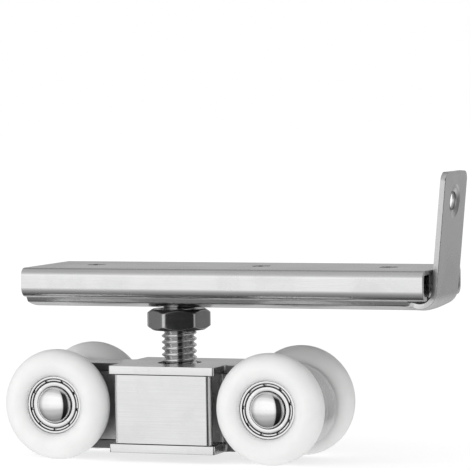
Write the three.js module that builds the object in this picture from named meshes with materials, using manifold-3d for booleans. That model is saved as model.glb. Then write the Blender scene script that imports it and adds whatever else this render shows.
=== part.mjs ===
// Sliding-door roller hanger: a four-wheel carriage, a height-adjusting hanger bolt with its lock nut,
// and the two-piece bracket (C-channel on the door, hat-section hanger plate inside it).
// Millimetres. X runs along the rail towards the stop tab, Y across it, Z up.
// Heights are written above the wheel line and the whole assembly is lowered so that the door face is Z = 0.
import * as THREE from "three";
import { mergeVertices } from "three/addons/utils/BufferGeometryUtils.js";
import Module from "manifold-3d";

// ---- driving dimensions ----
const DOOR_FACE = 43.5; // height of the channel's back face above the wheel line

const WHEEL_R = 12.5;
const WHEEL_T = 7.4; // width of the nylon tyre
const WHEEL_Y = 10.5; // mid-plane of each wheel from the centre plane
const AXLE_X = 25.6; // half the wheelbase
const AXLE_Z = 12.5;

const BEARING_R = 6.5; // 13 mm outside diameter
const BEARING_W = 4.0;
const BEARING_BORE_R = 2.5; // 5 mm bore
const PITCH_R = 4.55;
const BALL_R = 1.2;
const BALLS = 7;
const AXLE_R = 2.5;
const AXLE_HEAD_R = 4.1;
const SHIELD_NOTCHES = 9;

const BAND_T = 1.9; // strip that wraps the carriage
const BAND_R = 9.75; // outside radius of its ends
const BAND_CX = 26.1; // centre of the end curves
const BAND_Z = 11.8;
const ARM_Y = 4.6; // half-width of the narrow arms
const PLATE_X = 12.65; // wide middle part
const PLATE_Y = 11.6;
const END_HOLE_R = 5.0;

const BLOCK_X = 11.65;
const BLOCK_Y = 11.35;
const BLOCK_ARM_Y = 4.3;

const THREAD_R = 3.97; // 5/16 inch thread, 7.94 mm over the crests
const BOLT_END_Z = 5.0;
const BOLT_HEAD_Z = 36.75; // 1 1/4 inch under the head
const BOLT_HEAD_R = 6.35;
const BOLT_HEAD_H = 4.4;
const NUT_AF = 12.7;
const NUT_Z = 29.0;
const NUT_H = 4.76;
const NUT_TURN = 20.8; // degrees, the way the nut happens to sit

const CHANNEL_Y = 14.3; // half-width of the channel
const CHANNEL_X0 = -32.5;
const CHANNEL_X1 = 62.2;
const CHANNEL_T = 1.0;
const CHANNEL_DEPTH = 6.6;
const LIP_Y = 11.0; // where the returned lips end
const SCREW_X = [-20, 20, 50];

const SHEET = 1.25; // hanger plate
const HAT_X0 = -33.9; // end of the crown; the flanges start at FLANGE_X0
const FLANGE_X0 = -32.3;
const HAT_X1 = 57.0;
const HAT_H = 9.4; // crown of the hat below the door face
const HAT_SHOULDER_Y = 8.2;
const HAT_SAG = 1.5; // how much lower the shoulders lie than the crown
const FLANGE_Y = 12.7;
const FLANGE_TOP = 1.1; // clearance to the channel's back plate, and its thickness
const TAB_R = 4.9; // outside bend radius
const TAB_LEAN = 5.4; // degrees past upright
const TAB_TOP = 64.6;
const TAB_HOLE_Z = 58.2;
const TAB_BEND_X = 58.6;

const wasm = await Module();
wasm.setup();

// ---- helpers ----
function solid(geometry, matrix) {
  const g = geometry.index ? geometry.toNonIndexed() : geometry.clone();
  if (matrix) g.applyMatrix4(matrix);
  for (const k of Object.keys(g.attributes))
    if (k !== "position") g.deleteAttribute(k);
  const m = mergeVertices(g, 1e-4);
  return new wasm.Manifold(
    new wasm.Mesh({
      numProp: 3,
      vertProperties: new Float32Array(m.attributes.position.array),
      triVerts: new Uint32Array(m.index.array),
    }),
  );
}
function geometryOf(s) {
  const m = s.getMesh();
  const n = m.numProp;
  const v = new Float32Array(m.numVert * 3);
  for (let i = 0; i < m.numVert; i++)
    v.set(m.vertProperties.subarray(i * n, i * n + 3), i * 3);
  const g = new THREE.BufferGeometry();
  g.setAttribute("position", new THREE.BufferAttribute(v, 3));
  g.setIndex(new THREE.BufferAttribute(new Uint32Array(m.triVerts), 1));
  g.computeVertexNormals();
  return g;
}
const move = (x, y, z) => new THREE.Matrix4().makeTranslation(x, y, z);
const turnX = (a) => new THREE.Matrix4().makeRotationX(a);
const turnY = (a) => new THREE.Matrix4().makeRotationY(a);
const turnZ = (a) => new THREE.Matrix4().makeRotationZ(a);
const chain = (...ms) => ms.reduce((a, b) => a.clone().multiply(b));

function shapeOf(points) {
  return new THREE.Shape(points.map(([x, y]) => new THREE.Vector2(x, y)));
}
function extrude(points, depth, curveSegments = 8) {
  const shape = Array.isArray(points) ? shapeOf(points) : points;
  return new THREE.ExtrudeGeometry(shape, {
    depth,
    bevelEnabled: false,
    curveSegments,
  });
}
// A profile in X-Z (given as [x, z]) run from y0 to y1.
function alongY(points, y0, y1) {
  // shape plane x-y becomes x-z, extrusion becomes -y
  return solid(
    extrude(points, y1 - y0),
    chain(move(0, y1, 0), turnX(Math.PI / 2)),
  );
}
// A profile in Y-Z (given as [y, z]) run from x0 to x1.
function alongX(points, x0, x1) {
  const m = new THREE.Matrix4().set(
    0, 0, 1, x0,
    1, 0, 0, 0,
    0, 1, 0, 0,
    0, 0, 0, 1,
  );
  return solid(extrude(points, x1 - x0), m);
}
// A profile in X-Y run from z0 to z1.
function alongZ(points, z0, z1) {
  return solid(extrude(points, z1 - z0), move(0, 0, z0));
}
function box(x0, x1, y0, y1, z0, z1) {
  return solid(
    new THREE.BoxGeometry(x1 - x0, y1 - y0, z1 - z0),
    move((x0 + x1) / 2, (y0 + y1) / 2, (z0 + z1) / 2),
  );
}
function cylinderZ(r, z0, z1, segments = 24, x = 0, y = 0) {
  return solid(
    new THREE.CylinderGeometry(r, r, z1 - z0, segments),
    chain(move(x, y, (z0 + z1) / 2), turnX(Math.PI / 2)),
  );
}
function cylinderY(r, y0, y1, x, z, segments = 24) {
  return solid(
    new THREE.CylinderGeometry(r, r, y1 - y0, segments),
    move(x, (y0 + y1) / 2, z),
  );
}
// Lathe about the Y axis through (x, z); the profile is [radius, y], counter-clockwise outside.
function latheY(profile, x, z, segments) {
  const closed =
    profile[0][0] === 0 && profile[profile.length - 1][0] === 0
      ? profile
      : [...profile, profile[0]];
  return solid(
    new THREE.LatheGeometry(
      closed.map(([r, y]) => new THREE.Vector2(r, y)),
      segments,
    ),
    move(x, 0, z),
  );
}
// Lathe about the Z axis through the origin; the profile is [radius, z].
function latheZ(profile, segments) {
  return solid(
    new THREE.LatheGeometry(
      profile.map(([r, z]) => new THREE.Vector2(r, z)),
      segments,
    ),
    turnX(Math.PI / 2),
  );
}
function arc(cx, cy, r, a0, a1, n) {
  const out = [];
  for (let i = 0; i <= n; i++) {
    const a = ((a0 + ((a1 - a0) * i) / n) * Math.PI) / 180;
    out.push([cx + r * Math.cos(a), cy + r * Math.sin(a)]);
  }
  return out;
}
function stadium(cx, cz, r, n) {
  return [
    ...arc(cx, cz, r, -90, 90, n),
    ...arc(-cx, cz, r, 90, 270, n),
  ];
}
function roundedRect(hx, hy, r, n) {
  return [
    ...arc(hx - r, hy - r, r, 0, 90, n),
    ...arc(-hx + r, hy - r, r, 90, 180, n),
    ...arc(-hx + r, -hy + r, r, 180, 270, n),
    ...arc(hx - r, -hy + r, r, 270, 360, n),
  ];
}
// Plan of a cross: a wide middle and two narrow arms, with a small fillet in each notch.
function crossPlan(wx, wy, ax, ay, corner, notch, n) {
  return [
    [ax, -ay],
    [ax, ay],
    ...arc(wx + notch, ay + notch, notch, 270, 180, n),
    ...arc(wx - corner, wy - corner, corner, 0, 90, n),
    ...arc(-wx + corner, wy - corner, corner, 90, 180, n),
    ...arc(-wx - notch, ay + notch, notch, 360, 270, n),
    [-ax, ay],
    [-ax, -ay],
    ...arc(-wx - notch, -ay - notch, notch, 90, 0, n),
    ...arc(-wx + corner, -wy + corner, corner, 180, 270, n),
    ...arc(wx - corner, -wy + corner, corner, 270, 360, n),
    ...arc(wx + notch, -ay - notch, notch, 180, 90, n),
  ];
}

const steel = { color: 0xb9bbbc, roughness: 0.32, metalness: 1.0 };
const bright = { color: 0xd8dadb, roughness: 0.15, metalness: 1.0 };
const plated = { color: 0x8f9294, roughness: 0.35, metalness: 1.0 };
const nylon = { color: 0xf2f2f0, roughness: 0.42, metalness: 0.0 };
const brassy = { color: 0x9a9c9e, roughness: 0.45, metalness: 1.0 };

const root = new THREE.Group();
root.name = "roller_hanger";
const lowered = new THREE.Group();
lowered.position.z = -DOOR_FACE;
root.add(lowered);
function part(name, s, look) {
  const mesh = new THREE.Mesh(
    geometryOf(s),
    new THREE.MeshStandardMaterial(look),
  );
  mesh.name = name;
  lowered.add(mesh);
  return s;
}

// ---- carriage band: one strip folded round the carriage, wide in the middle, narrow at the arms ----
{
  const ring = alongY(stadium(BAND_CX, BAND_Z, BAND_R, 14), -PLATE_Y, PLATE_Y).subtract(
    alongY(stadium(BAND_CX, BAND_Z, BAND_R - BAND_T, 14), -PLATE_Y - 1, PLATE_Y + 1),
  );
  const plan = alongZ(
    crossPlan(PLATE_X, PLATE_Y - 0.001, 45, ARM_Y, 0.6, 1.0, 2),
    -2,
    26,
  );
  part(
    "carriage_band",
    ring.intersect(plan).subtract(cylinderZ(END_HOLE_R, -1, 26, 28)),
    steel,
  );
}

// ---- centre block: fills the band, its arms carry the axles, tapped for the hanger bolt ----
{
  const inside = BAND_R - BAND_T - 0.12;
  const body = alongY(stadium(BAND_CX, BAND_Z, inside, 12), -20, 20).intersect(
    alongZ(
      crossPlan(BLOCK_X, BLOCK_Y, 45, BLOCK_ARM_Y, 1.2, 0.5, 3),
      -2,
      26,
    ),
  );
  part(
    "centre_block",
    body
      .subtract(cylinderZ(THREAD_R + 0.22, -1, 26, 24))
      .subtract(cylinderY(AXLE_R + 0.04, -20, 20, AXLE_X, AXLE_Z))
      .subtract(cylinderY(AXLE_R + 0.04, -20, 20, -AXLE_X, AXLE_Z)),
    steel,
  );
}

// ---- axles, riveted over at both ends ----
const headFace = WHEEL_Y + BEARING_W / 2 + 0.05;
for (const [name, sx] of [
  ["axle_left", -1],
  ["axle_right", 1],
]) {
  const half = [
    [AXLE_R, headFace],
    [AXLE_HEAD_R, headFace],
    [AXLE_HEAD_R, headFace + 0.35],
    [3.5, headFace + 0.85],
    [2.4, headFace + 1.2],
    [1.2, headFace + 1.38],
    [0, headFace + 1.44],
  ];
  const profile = [
    ...half
      .slice()
      .reverse()
      .map(([r, y]) => [r, -y]),
    ...half,
  ];
  part(name, latheY(profile, sx * AXLE_X, AXLE_Z, 24), bright);
}

// ---- four wheels, each a nylon tyre on a shielded ball bearing ----
const WHEELS = [
  ["front_left", -1, -1],
  ["front_right", 1, -1],
  ["rear_left", -1, 1],
  ["rear_right", 1, 1],
];
for (const [name, sx, sy] of WHEELS) {
  const x = sx * AXLE_X;
  const y = sy * WHEEL_Y;
  const h = WHEEL_T / 2;
  const rc = 3.55; // crown radius of the rounded tread
  // tyre: bore, dished faces, fully rounded tread
  const tread = arc(0, 0, 1, -78, 78, 6).map(([c, s]) => [
    WHEEL_R - rc + rc * c,
    h * s,
  ]);
  const tyre = [
    [BEARING_R + 0.03, -2.35],
    [7.2, -2.6],
    [9.0, -h],
    ...tread,
    [9.0, h],
    [7.2, 2.6],
    [BEARING_R + 0.03, 2.35],
  ].map(([r, a]) => [r, a + y]);
  part("tyre_" + name, latheY(tyre, x, AXLE_Z, 24), nylon);

  const w = BEARING_W / 2;
  const outer = [
    [5.3, -1.4],
    [5.95, -1.4],
    [5.95, -w],
    [BEARING_R, -w],
    [BEARING_R, w],
    [5.95, w],
    [5.95, 1.4],
    [5.3, 1.4],
    [5.3, 1.15],
    [5.85, 0.6],
    [5.85, -0.6],
    [5.3, -1.15],
  ].map(([r, a]) => [r, a + y]);
  part("bearing_outer_" + name, latheY(outer, x, AXLE_Z, 24), bright);

  const inner = [
    [BEARING_BORE_R + 0.04, -w],
    [3.75, -w],
    [3.75, -1.15],
    [3.25, -0.6],
    [3.25, 0.6],
    [3.75, 1.15],
    [3.75, w],
    [BEARING_BORE_R + 0.04, w],
  ].map(([r, a]) => [r, a + y]);
  part("bearing_inner_" + name, latheY(inner, x, AXLE_Z, 24), bright);

  // cage with its balls
  let cage = latheY(
    [
      [4.2, y - 0.5],
      [4.9, y - 0.5],
      [4.9, y + 0.5],
      [4.2, y + 0.5],
    ],
    x,
    AXLE_Z,
    14,
  );
  for (let i = 0; i < BALLS; i++) {
    const a = (i * 2 * Math.PI) / BALLS;
    cage = cage.add(
      solid(
        new THREE.SphereGeometry(BALL_R, 6, 4),
        move(x + PITCH_R * Math.sin(a), y, AXLE_Z + PITCH_R * Math.cos(a)),
      ),
    );
  }
  part("ball_cage_" + name, cage, brassy);

  // shields: discs staked into the outer ring, with nine stake notches round the edge
  for (const [side, s] of [
    ["out", 1],
    ["in", -1],
  ]) {
    const rim = [];
    for (let i = 0; i < SHIELD_NOTCHES; i++) {
      const a = (i * 360) / SHIELD_NOTCHES;
      rim.push(...arc(0, 0, 5.35, a - 2.5, a + 2.5, 1));
      rim.push(...arc(0, 0, 5.86, a + 3.2, a + 36.8, 1));
    }
    const shape = shapeOf(rim);
    const hole = new THREE.Path(
      arc(0, 0, 4.0, 0, 337.5, 15).map(([u, v]) => new THREE.Vector2(u, v)),
    );
    shape.holes.push(hole);
    const at = sy * s; // +1 faces +Y
    const y0 = y + at * 1.5;
    const y1 = y + at * 1.85;
    const lo = Math.min(y0, y1);
    part(
      "shield_" + side + "_" + name,
      solid(
        new THREE.ExtrudeGeometry(shape, { depth: 0.35, bevelEnabled: false }),
        chain(move(x, lo + 0.35, AXLE_Z), turnX(Math.PI / 2)),
      ),
      steel,
    );
  }

  // spacer between the block's arm and the inner ring
  const a0 = BLOCK_ARM_Y + 0.05;
  const a1 = WHEEL_Y - BEARING_W / 2 - 0.05;
  const [s0, s1] = sy > 0 ? [a0, a1] : [-a1, -a0];
  part(
    "spacer_" + name,
    latheY(
      [
        [BEARING_BORE_R + 0.04, s0],
        [3.5, s0],
        [3.5, s1],
        [BEARING_BORE_R + 0.04, s1],
      ],
      x,
      AXLE_Z,
      24,
    ),
    steel,
  );
}

// ---- hanger bolt ----
{
  const profile = [
    [0, BOLT_END_Z],
    [1.6, BOLT_END_Z + 0.12],
    [2.8, BOLT_END_Z + 0.45],
    [3.4, BOLT_END_Z + 0.9],
    [THREAD_R, BOLT_END_Z + 1.5],
    [THREAD_R, BOLT_HEAD_Z],
    [BOLT_HEAD_R, BOLT_HEAD_Z],
    [BOLT_HEAD_R, BOLT_HEAD_Z + BOLT_HEAD_H - 0.8],
    [BOLT_HEAD_R - 0.8, BOLT_HEAD_Z + BOLT_HEAD_H],
    [0, BOLT_HEAD_Z + BOLT_HEAD_H],
  ];
  // a lathe turned about Z keeps its profile counter-clockwise when z runs down the profile
  part("hanger_bolt", latheZ(profile.map(([r, z]) => [r, z]), 24), bright);
}

// ---- lock nut ----
{
  const R = NUT_AF / Math.sqrt(3);
  const hex = [];
  for (let i = 0; i < 6; i++) {
    // a flat looks towards -Y before the nut is turned
    const a = ((i * 60 + NUT_TURN) * Math.PI) / 180;
    hex.push([R * Math.cos(a), R * Math.sin(a)]);
  }
  const cone = latheZ(
    [
      [0, NUT_Z],
      [NUT_AF / 2 - 0.1, NUT_Z],
      [R + 0.1, NUT_Z + 0.75],
      [R + 0.1, NUT_Z + NUT_H - 0.75],
      [NUT_AF / 2 - 0.1, NUT_Z + NUT_H],
      [0, NUT_Z + NUT_H],
    ],
    36,
  );
  part(
    "lock_nut",
    alongZ(hex, NUT_Z - 1, NUT_Z + NUT_H + 1)
      .intersect(cone)
      .subtract(cylinderZ(THREAD_R + 0.16, NUT_Z - 2, NUT_Z + NUT_H + 2, 24)),
    plated,
  );
}

// ---- door channel: back plate, two sides and returned lips ----
{
  const z = (h) => DOOR_FACE - h;
  const t = CHANNEL_T;
  const ro = 1.8; // outside bend radius at the back plate
  const rl = 1.5; // outside bend radius of the lips
  // outline of the right half, outside then inside, in [y, h]
  const out = [
    ...arc(CHANNEL_Y - ro, ro, ro, -90, 0, 4),
    ...arc(CHANNEL_Y - rl, CHANNEL_DEPTH - rl, rl, 0, 90, 4),
    [LIP_Y, CHANNEL_DEPTH],
    [LIP_Y, CHANNEL_DEPTH - t],
    ...arc(CHANNEL_Y - rl, CHANNEL_DEPTH - rl, rl - t, 90, 0, 2),
    ...arc(CHANNEL_Y - ro, ro, ro - t, 0, -90, 2),
  ];
  const section = [
    ...out,
    ...out
      .slice()
      .reverse()
      .map(([y, h]) => [-y, h]),
  ].map(([y, h]) => [y, z(h)]);
  let channel = alongX(section.reverse(), CHANNEL_X0, CHANNEL_X1);
  for (const x of SCREW_X) {
    channel = channel.subtract(
      cylinderZ(2.1, z(2.5), z(-1), 20, x, 0).add(
        solid(
          new THREE.CylinderGeometry(2.0, 3.7, 0.8, 20),
          chain(move(x, 0, z(0.75)), turnX(Math.PI / 2)),
        ),
      ),
    );
  }
  part("door_channel", channel, steel);
}

// ---- hanger plate: hat section with an arched crown, its end bent up into the stop tab ----
{
  const z = (h) => DOOR_FACE - h;
  const crown = (y) => HAT_H - HAT_SAG * (y / HAT_SHOULDER_Y) ** 2; // outside depth of the crown
  const N = 8;
  const f0 = FLANGE_TOP;
  const f1 = FLANGE_TOP + SHEET;
  const half = []; // outer surface (towards the carriage) from the centre to the flange edge
  for (let i = 0; i <= N / 2; i++) {
    const y = (i / (N / 2)) * 7.2;
    half.push([y, crown(y)]);
  }
  half.push([8.1, 7.55], [8.45, 6.9], [8.6, 3.2], [9.0, f1 + 0.25], [9.6, f1], [FLANGE_Y, f1]);
  const inner = [[FLANGE_Y, f0], [8.5, f0], [7.6, f0 + 0.6], [7.35, 2.6], [7.2, 6.4]];
  for (let i = N / 2 - 1; i >= 0; i--) {
    const y = (i / (N / 2)) * 7.2;
    inner.push([y * 0.97, crown(y) - SHEET]);
  }
  const right = [...half, ...inner];
  const section = [
    ...right.slice(0, -1),
    ...right
      .slice()
      .reverse()
      .slice(0, -1)
      .map(([y, h]) => [-y, h]),
  ].map(([y, h]) => [y, z(h)]);
  // walls and flanges stop short of the bend with a raked cut
  let hat = alongX(section, HAT_X0, HAT_X1);
  // at the plain end the flanges stop inside the channel and only the crown runs on
  for (const side of [-1, 1]) {
    const y = [side * 9.2, side * 14].sort((a, b) => a - b);
    hat = hat.subtract(box(HAT_X0 - 1, FLANGE_X0, y[0], y[1], z(3.2), z(-1)));
  }

  // strip of the crown carried on, bent up and lengthened into the tab
  const lean = (TAB_LEAN * Math.PI) / 180;
  const mid = TAB_R - SHEET / 2; // bend radius at mid-thickness
  const s0 = 46;
  const bendStart = TAB_BEND_X;
  const bendLen = mid * (Math.PI / 2 - lean);
  const zMid = z(HAT_H - SHEET / 2);
  const cz = zMid + mid; // centre height of the bend
  const endAng = Math.PI / 2 - lean;
  const bx = bendStart + mid * Math.sin(endAng);
  const bz = cz - mid * Math.cos(endAng);
  const tabLen = (TAB_TOP - bz) / Math.sin(endAng);
  const total = bendStart - s0 + bendLen + tabLen;
  const along = [];
  const flat = 4;
  for (let i = 0; i <= flat; i++) along.push(((bendStart - s0) * i) / flat);
  for (let i = 1; i <= 8; i++) along.push(bendStart - s0 + (bendLen * i) / 8);
  along.push(total - tabLen * 0.66, total - tabLen * 0.33, total);
  const g = new THREE.BoxGeometry(1, 2 * HAT_SHOULDER_Y, 1, along.length - 1, 8, 1);
  const p = g.attributes.position;
  for (let i = 0; i < p.count; i++) {
    const k = Math.round((p.getX(i) + 0.5) * (along.length - 1));
    const s = along[k];
    const y = p.getY(i);
    const off = p.getZ(i) < 0 ? 1 : -1; // +1 is the outer face, towards the carriage
    let x, zz, nx, nz;
    if (s <= bendStart - s0) {
      x = s0 + s;
      zz = zMid;
      nx = 0;
      nz = -1;
    } else if (s <= bendStart - s0 + bendLen + 1e-9) {
      const a = (s - (bendStart - s0)) / mid;
      x = bendStart + mid * Math.sin(a);
      zz = cz - mid * Math.cos(a);
      nx = Math.sin(a);
      nz = -Math.cos(a);
    } else {
      const d = s - (bendStart - s0 + bendLen);
      x = bx + d * Math.cos(endAng);
      zz = bz + d * Math.sin(endAng);
      nx = Math.sin(endAng);
      nz = -Math.cos(endAng);
    }
    // the arch of the crown fades out through the bend
    const u = Math.min(1, Math.max(0, (s - (bendStart - s0 - 4)) / (bendLen * 0.8 + 4)));
    const keep = 1 - u * u * (3 - 2 * u);
    const sag = HAT_SAG * (y / HAT_SHOULDER_Y) ** 2 * keep;
    const d = (off * SHEET) / 2 - sag;
    p.setXYZ(i, x + nx * d, y, zz + nz * d);
  }
  let strip = solid(g);
  // rounded corners of the tab, cut in its own plane
  const keepOut = alongX(
    [
      ...arc(HAT_SHOULDER_Y - 2.2, TAB_TOP - 2.2, 2.2, 0, 90, 4),
      ...arc(-HAT_SHOULDER_Y + 2.2, TAB_TOP - 2.2, 2.2, 90, 180, 4),
      [-HAT_SHOULDER_Y - 0.5, 45],
      [-HAT_SHOULDER_Y - 0.5, 20],
      [HAT_SHOULDER_Y + 0.5, 20],
      [HAT_SHOULDER_Y + 0.5, 45],
    ],
    40,
    80,
  );
  strip = strip.intersect(keepOut);
  // countersunk screw hole, square to the leaning tab
  const hx = bx + ((TAB_HOLE_Z - bz) / Math.sin(endAng)) * Math.cos(endAng);
  const across = chain(move(hx, 0, TAB_HOLE_Z), turnY(lean), turnZ(-Math.PI / 2));
  const screw = solid(new THREE.CylinderGeometry(2.25, 2.25, 8, 20), across).add(
    solid(
      new THREE.CylinderGeometry(3.75, 2.25, 1.3, 20),
      chain(across, move(0, SHEET / 2 - 0.6, 0)),
    ),
  );
  // The channel butts against the tab, so the walls end before the bend.
  hat = hat
    .add(strip)
    .subtract(cylinderZ(4.4, 25, DOOR_FACE + 1, 24))
    .subtract(screw);
  part("hanger_plate", hat, steel);
}

export default root;
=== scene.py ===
import math

import bmesh
import bpy
import numpy as np
from mathutils import Matrix, Vector


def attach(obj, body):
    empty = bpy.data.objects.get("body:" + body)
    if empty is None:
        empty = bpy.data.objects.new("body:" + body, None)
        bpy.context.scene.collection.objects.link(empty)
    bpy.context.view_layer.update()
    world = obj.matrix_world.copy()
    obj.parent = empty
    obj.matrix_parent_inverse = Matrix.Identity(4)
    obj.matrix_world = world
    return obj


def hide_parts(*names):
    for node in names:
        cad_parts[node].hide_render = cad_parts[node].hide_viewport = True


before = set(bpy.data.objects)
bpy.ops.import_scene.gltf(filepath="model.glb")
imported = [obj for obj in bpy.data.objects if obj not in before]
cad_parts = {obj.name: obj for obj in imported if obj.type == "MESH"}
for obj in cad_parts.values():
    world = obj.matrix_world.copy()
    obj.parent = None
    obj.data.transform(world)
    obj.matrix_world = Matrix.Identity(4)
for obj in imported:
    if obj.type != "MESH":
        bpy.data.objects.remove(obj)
bpy.context.view_layer.update()
scene = bpy.context.scene

# ------------------------------------------------------------------ sizes, in millimetres
# Heights are written above the line the wheels run on; the door face lies DOOR_FACE above it.
DOOR_FACE = 43.5
WHEEL_R, WHEEL_T, WHEEL_Y = 12.5, 7.4, 10.5
AXLE_X, AXLE_Z = 25.6, 12.5
BEARING_R, BEARING_W, PITCH_R, BALL_R, BALLS = 6.5, 4.0, 4.55, 1.2, 7
AXLE_R, AXLE_HEAD_R, NOTCHES = 2.5, 4.1, 9
BAND_T, BAND_R, BAND_CX, BAND_Z, ARM_Y = 1.9, 9.75, 26.1, 11.8, 4.6
PLATE_X, PLATE_Y, END_HOLE_R = 12.65, 11.6, 5.0
BLOCK_X, BLOCK_Y, BLOCK_ARM_Y = 11.65, 11.35, 4.3
THREAD_R, PITCH = 3.97, 25.4 / 18
BOLT_END_Z, BOLT_HEAD_Z, BOLT_HEAD_R, BOLT_HEAD_H = 5.0, 36.75, 6.35, 4.4
NUT_AF, NUT_Z, NUT_H, NUT_TURN = 12.7, 29.0, 4.76, 20.8
CHANNEL_Y, CHANNEL_X0, CHANNEL_X1 = 14.3, -32.5, 62.2
CHANNEL_T, CHANNEL_DEPTH, LIP_Y = 1.0, 6.6, 11.0
SCREW_X = (-20, 20, 50)
SHEET, HAT_X0, HAT_X1, HAT_H = 1.25, -33.9, 57.0, 9.4
FLANGE_X0 = -32.3
HAT_SHOULDER_Y, HAT_SAG, FLANGE_Y, FLANGE_TOP = 8.2, 1.5, 12.7, 1.1
TAB_R, TAB_LEAN, TAB_TOP, TAB_HOLE_Z, TAB_BEND_X = 4.9, 5.4, 64.6, 58.2, 58.6


# ------------------------------------------------------------------ outlines
def arc(cx, cy, r, a0, a1, n):
    return [
        (cx + r * math.cos(math.radians(a0 + (a1 - a0) * i / n)),
         cy + r * math.sin(math.radians(a0 + (a1 - a0) * i / n)))
        for i in range(n + 1)
    ]


def rounded(points, radii, n=4, closed=True):
    """The outline with each corner turned into an arc of its own radius."""
    out, count = [], len(points)
    for i, p in enumerate(points):
        r = radii[i] if hasattr(radii, "__len__") else radii
        if r <= 0 or (not closed and i in (0, count - 1)):
            out.append(tuple(p))
            continue
        a, b = points[i - 1], points[(i + 1) % count]
        u = Vector((a[0] - p[0], a[1] - p[1]))
        v = Vector((b[0] - p[0], b[1] - p[1]))
        lu, lv = u.length, v.length
        u, v = u / lu, v / lv
        half = math.acos(max(-1, min(1, u.dot(v)))) / 2
        if half > math.radians(88):
            out.append(tuple(p))
            continue
        d = min(r / math.tan(half), 0.49 * lu, 0.49 * lv)
        rr = d * math.tan(half)
        c = Vector(p) + (u + v).normalized() * (rr / math.sin(half))
        s, e = Vector(p) + u * d - c, Vector(p) + v * d - c
        a0 = math.atan2(s.y, s.x)
        turn = math.atan2(e.y, e.x) - a0
        turn = (turn + math.pi) % (2 * math.pi) - math.pi
        for k in range(n + 1):
            t = a0 + turn * k / n
            out.append((c.x + rr * math.cos(t), c.y + rr * math.sin(t)))
    return out


def curve_through(points, n):
    """Catmull-Rom through the points, n steps a span."""
    p = [Vector(q) for q in points]
    p = [2 * p[0] - p[1]] + p + [2 * p[-1] - p[-2]]
    out = []
    for i in range(1, len(p) - 2):
        for k in range(n):
            t = k / n
            q = 0.5 * (
                2 * p[i] + (p[i + 1] - p[i - 1]) * t
                + (2 * p[i - 1] - 5 * p[i] + 4 * p[i + 1] - p[i + 2]) * t * t
                + (3 * p[i] - p[i - 1] - 3 * p[i + 1] + p[i + 2]) * t * t * t
            )
            out.append((q.x, q.y))
    out.append(tuple(p[-2]))
    return out


# ------------------------------------------------------------------ meshes, in millimetres
def mesh_of(verts, faces, merge=1e-5):
    me = bpy.data.meshes.new("m")
    me.from_pydata([tuple(v) for v in verts], [], faces)
    bm = bmesh.new()
    bm.from_mesh(me)
    bmesh.ops.remove_doubles(bm, verts=bm.verts, dist=merge)
    bmesh.ops.dissolve_degenerate(bm, edges=bm.edges, dist=merge)
    bmesh.ops.recalc_face_normals(bm, faces=bm.faces)
    bm.to_mesh(me)
    bm.free()
    return me


def lathe(profile, axis, segs, x=0.0, z=0.0, warp=None, phase=0.0):
    """A profile of (radius, height) turned about Y through (x, z), or about Z through the origin."""
    verts, rings, faces = [], [], []
    for r, h in profile:
        ring = []
        for k in range(1 if r < 1e-6 else segs):
            a = 2 * math.pi * k / segs + phase
            rr, hh = warp(r, h, a) if warp else (r, h)
            if axis == "Y":
                verts.append((x + rr * math.sin(a), hh, z + rr * math.cos(a)))
            else:
                verts.append((rr * math.cos(a), rr * math.sin(a), hh))
            ring.append(len(verts) - 1)
        rings.append(ring)
    ends_on_axis = profile[0][0] < 1e-6 and profile[-1][0] < 1e-6
    for i in range(len(rings) - (1 if ends_on_axis else 0)):
        a, b = rings[i], rings[(i + 1) % len(rings)]
        for k in range(segs):
            j = (k + 1) % segs
            if len(a) == 1:
                faces.append((a[0], b[k], b[j]))
            elif len(b) == 1:
                faces.append((a[k], b[0], a[j]))
            else:
                faces.append((a[k], b[k], b[j], a[j]))
    return mesh_of(verts, faces)


def inset(poly, d):
    """The outline moved inwards by d (counter-clockwise outlines)."""
    n = len(poly)
    area = sum(poly[i][0] * poly[(i + 1) % n][1] - poly[(i + 1) % n][0] * poly[i][1] for i in range(n))
    sign = 1 if area > 0 else -1
    out = []
    for i in range(n):
        a, p, b = Vector(poly[i - 1]), Vector(poly[i]), Vector(poly[(i + 1) % n])
        u, v = (p - a).normalized(), (b - p).normalized()
        nu, nv = Vector((-u.y, u.x)) * sign, Vector((-v.y, v.x)) * sign
        m = nu + nv
        if m.length < 1e-6:
            m = nu
        m.normalize()
        out.append(tuple(p + m * (d / max(0.5, m.dot(nu)))))
    return out


def prism(poly, lo, hi, axis, bevel=0.0, steps=1):
    """An outline run along an axis, its two ends eased by a small bevel."""
    if bevel:
        levels = [(lo, inset(poly, bevel)), (lo + bevel * 0.3, inset(poly, bevel * 0.3)), (lo + bevel, poly)]
        levels += [(lo + bevel + (hi - lo - 2 * bevel) * i / steps, poly) for i in range(1, steps)]
        levels += [(hi - bevel, poly), (hi - bevel * 0.3, inset(poly, bevel * 0.3)), (hi, inset(poly, bevel))]
    else:
        levels = [(lo, poly), (hi, poly)]
    verts, faces, n = [], [], len(poly)
    for h, ring in levels:
        for u, v in ring:
            verts.append({"Z": (u, v, h), "Y": (u, h, v), "X": (h, u, v)}[axis])
    for i in range(len(levels) - 1):
        for k in range(n):
            j = (k + 1) % n
            faces.append((i * n + k, i * n + j, (i + 1) * n + j, (i + 1) * n + k))
    faces.append(tuple(range(n)))
    faces.append(tuple(range((len(levels) - 1) * n, len(levels) * n)))
    return mesh_of(verts, faces)


def through_modifier(me, kind, other=None, **settings):
    o = bpy.data.objects.new("w", me)
    scene.collection.objects.link(o)
    made = [o]
    m = o.modifiers.new("m", kind)
    if other is not None:
        b = bpy.data.objects.new("w2", other)
        scene.collection.objects.link(b)
        made.append(b)
        m.object = b
    for k, v in settings.items():
        setattr(m, k, v)
    dg = bpy.context.evaluated_depsgraph_get()
    out = bpy.data.meshes.new_from_object(o.evaluated_get(dg), preserve_all_data_layers=True, depsgraph=dg)
    for q in made:
        bpy.data.objects.remove(q)
    return out


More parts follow.
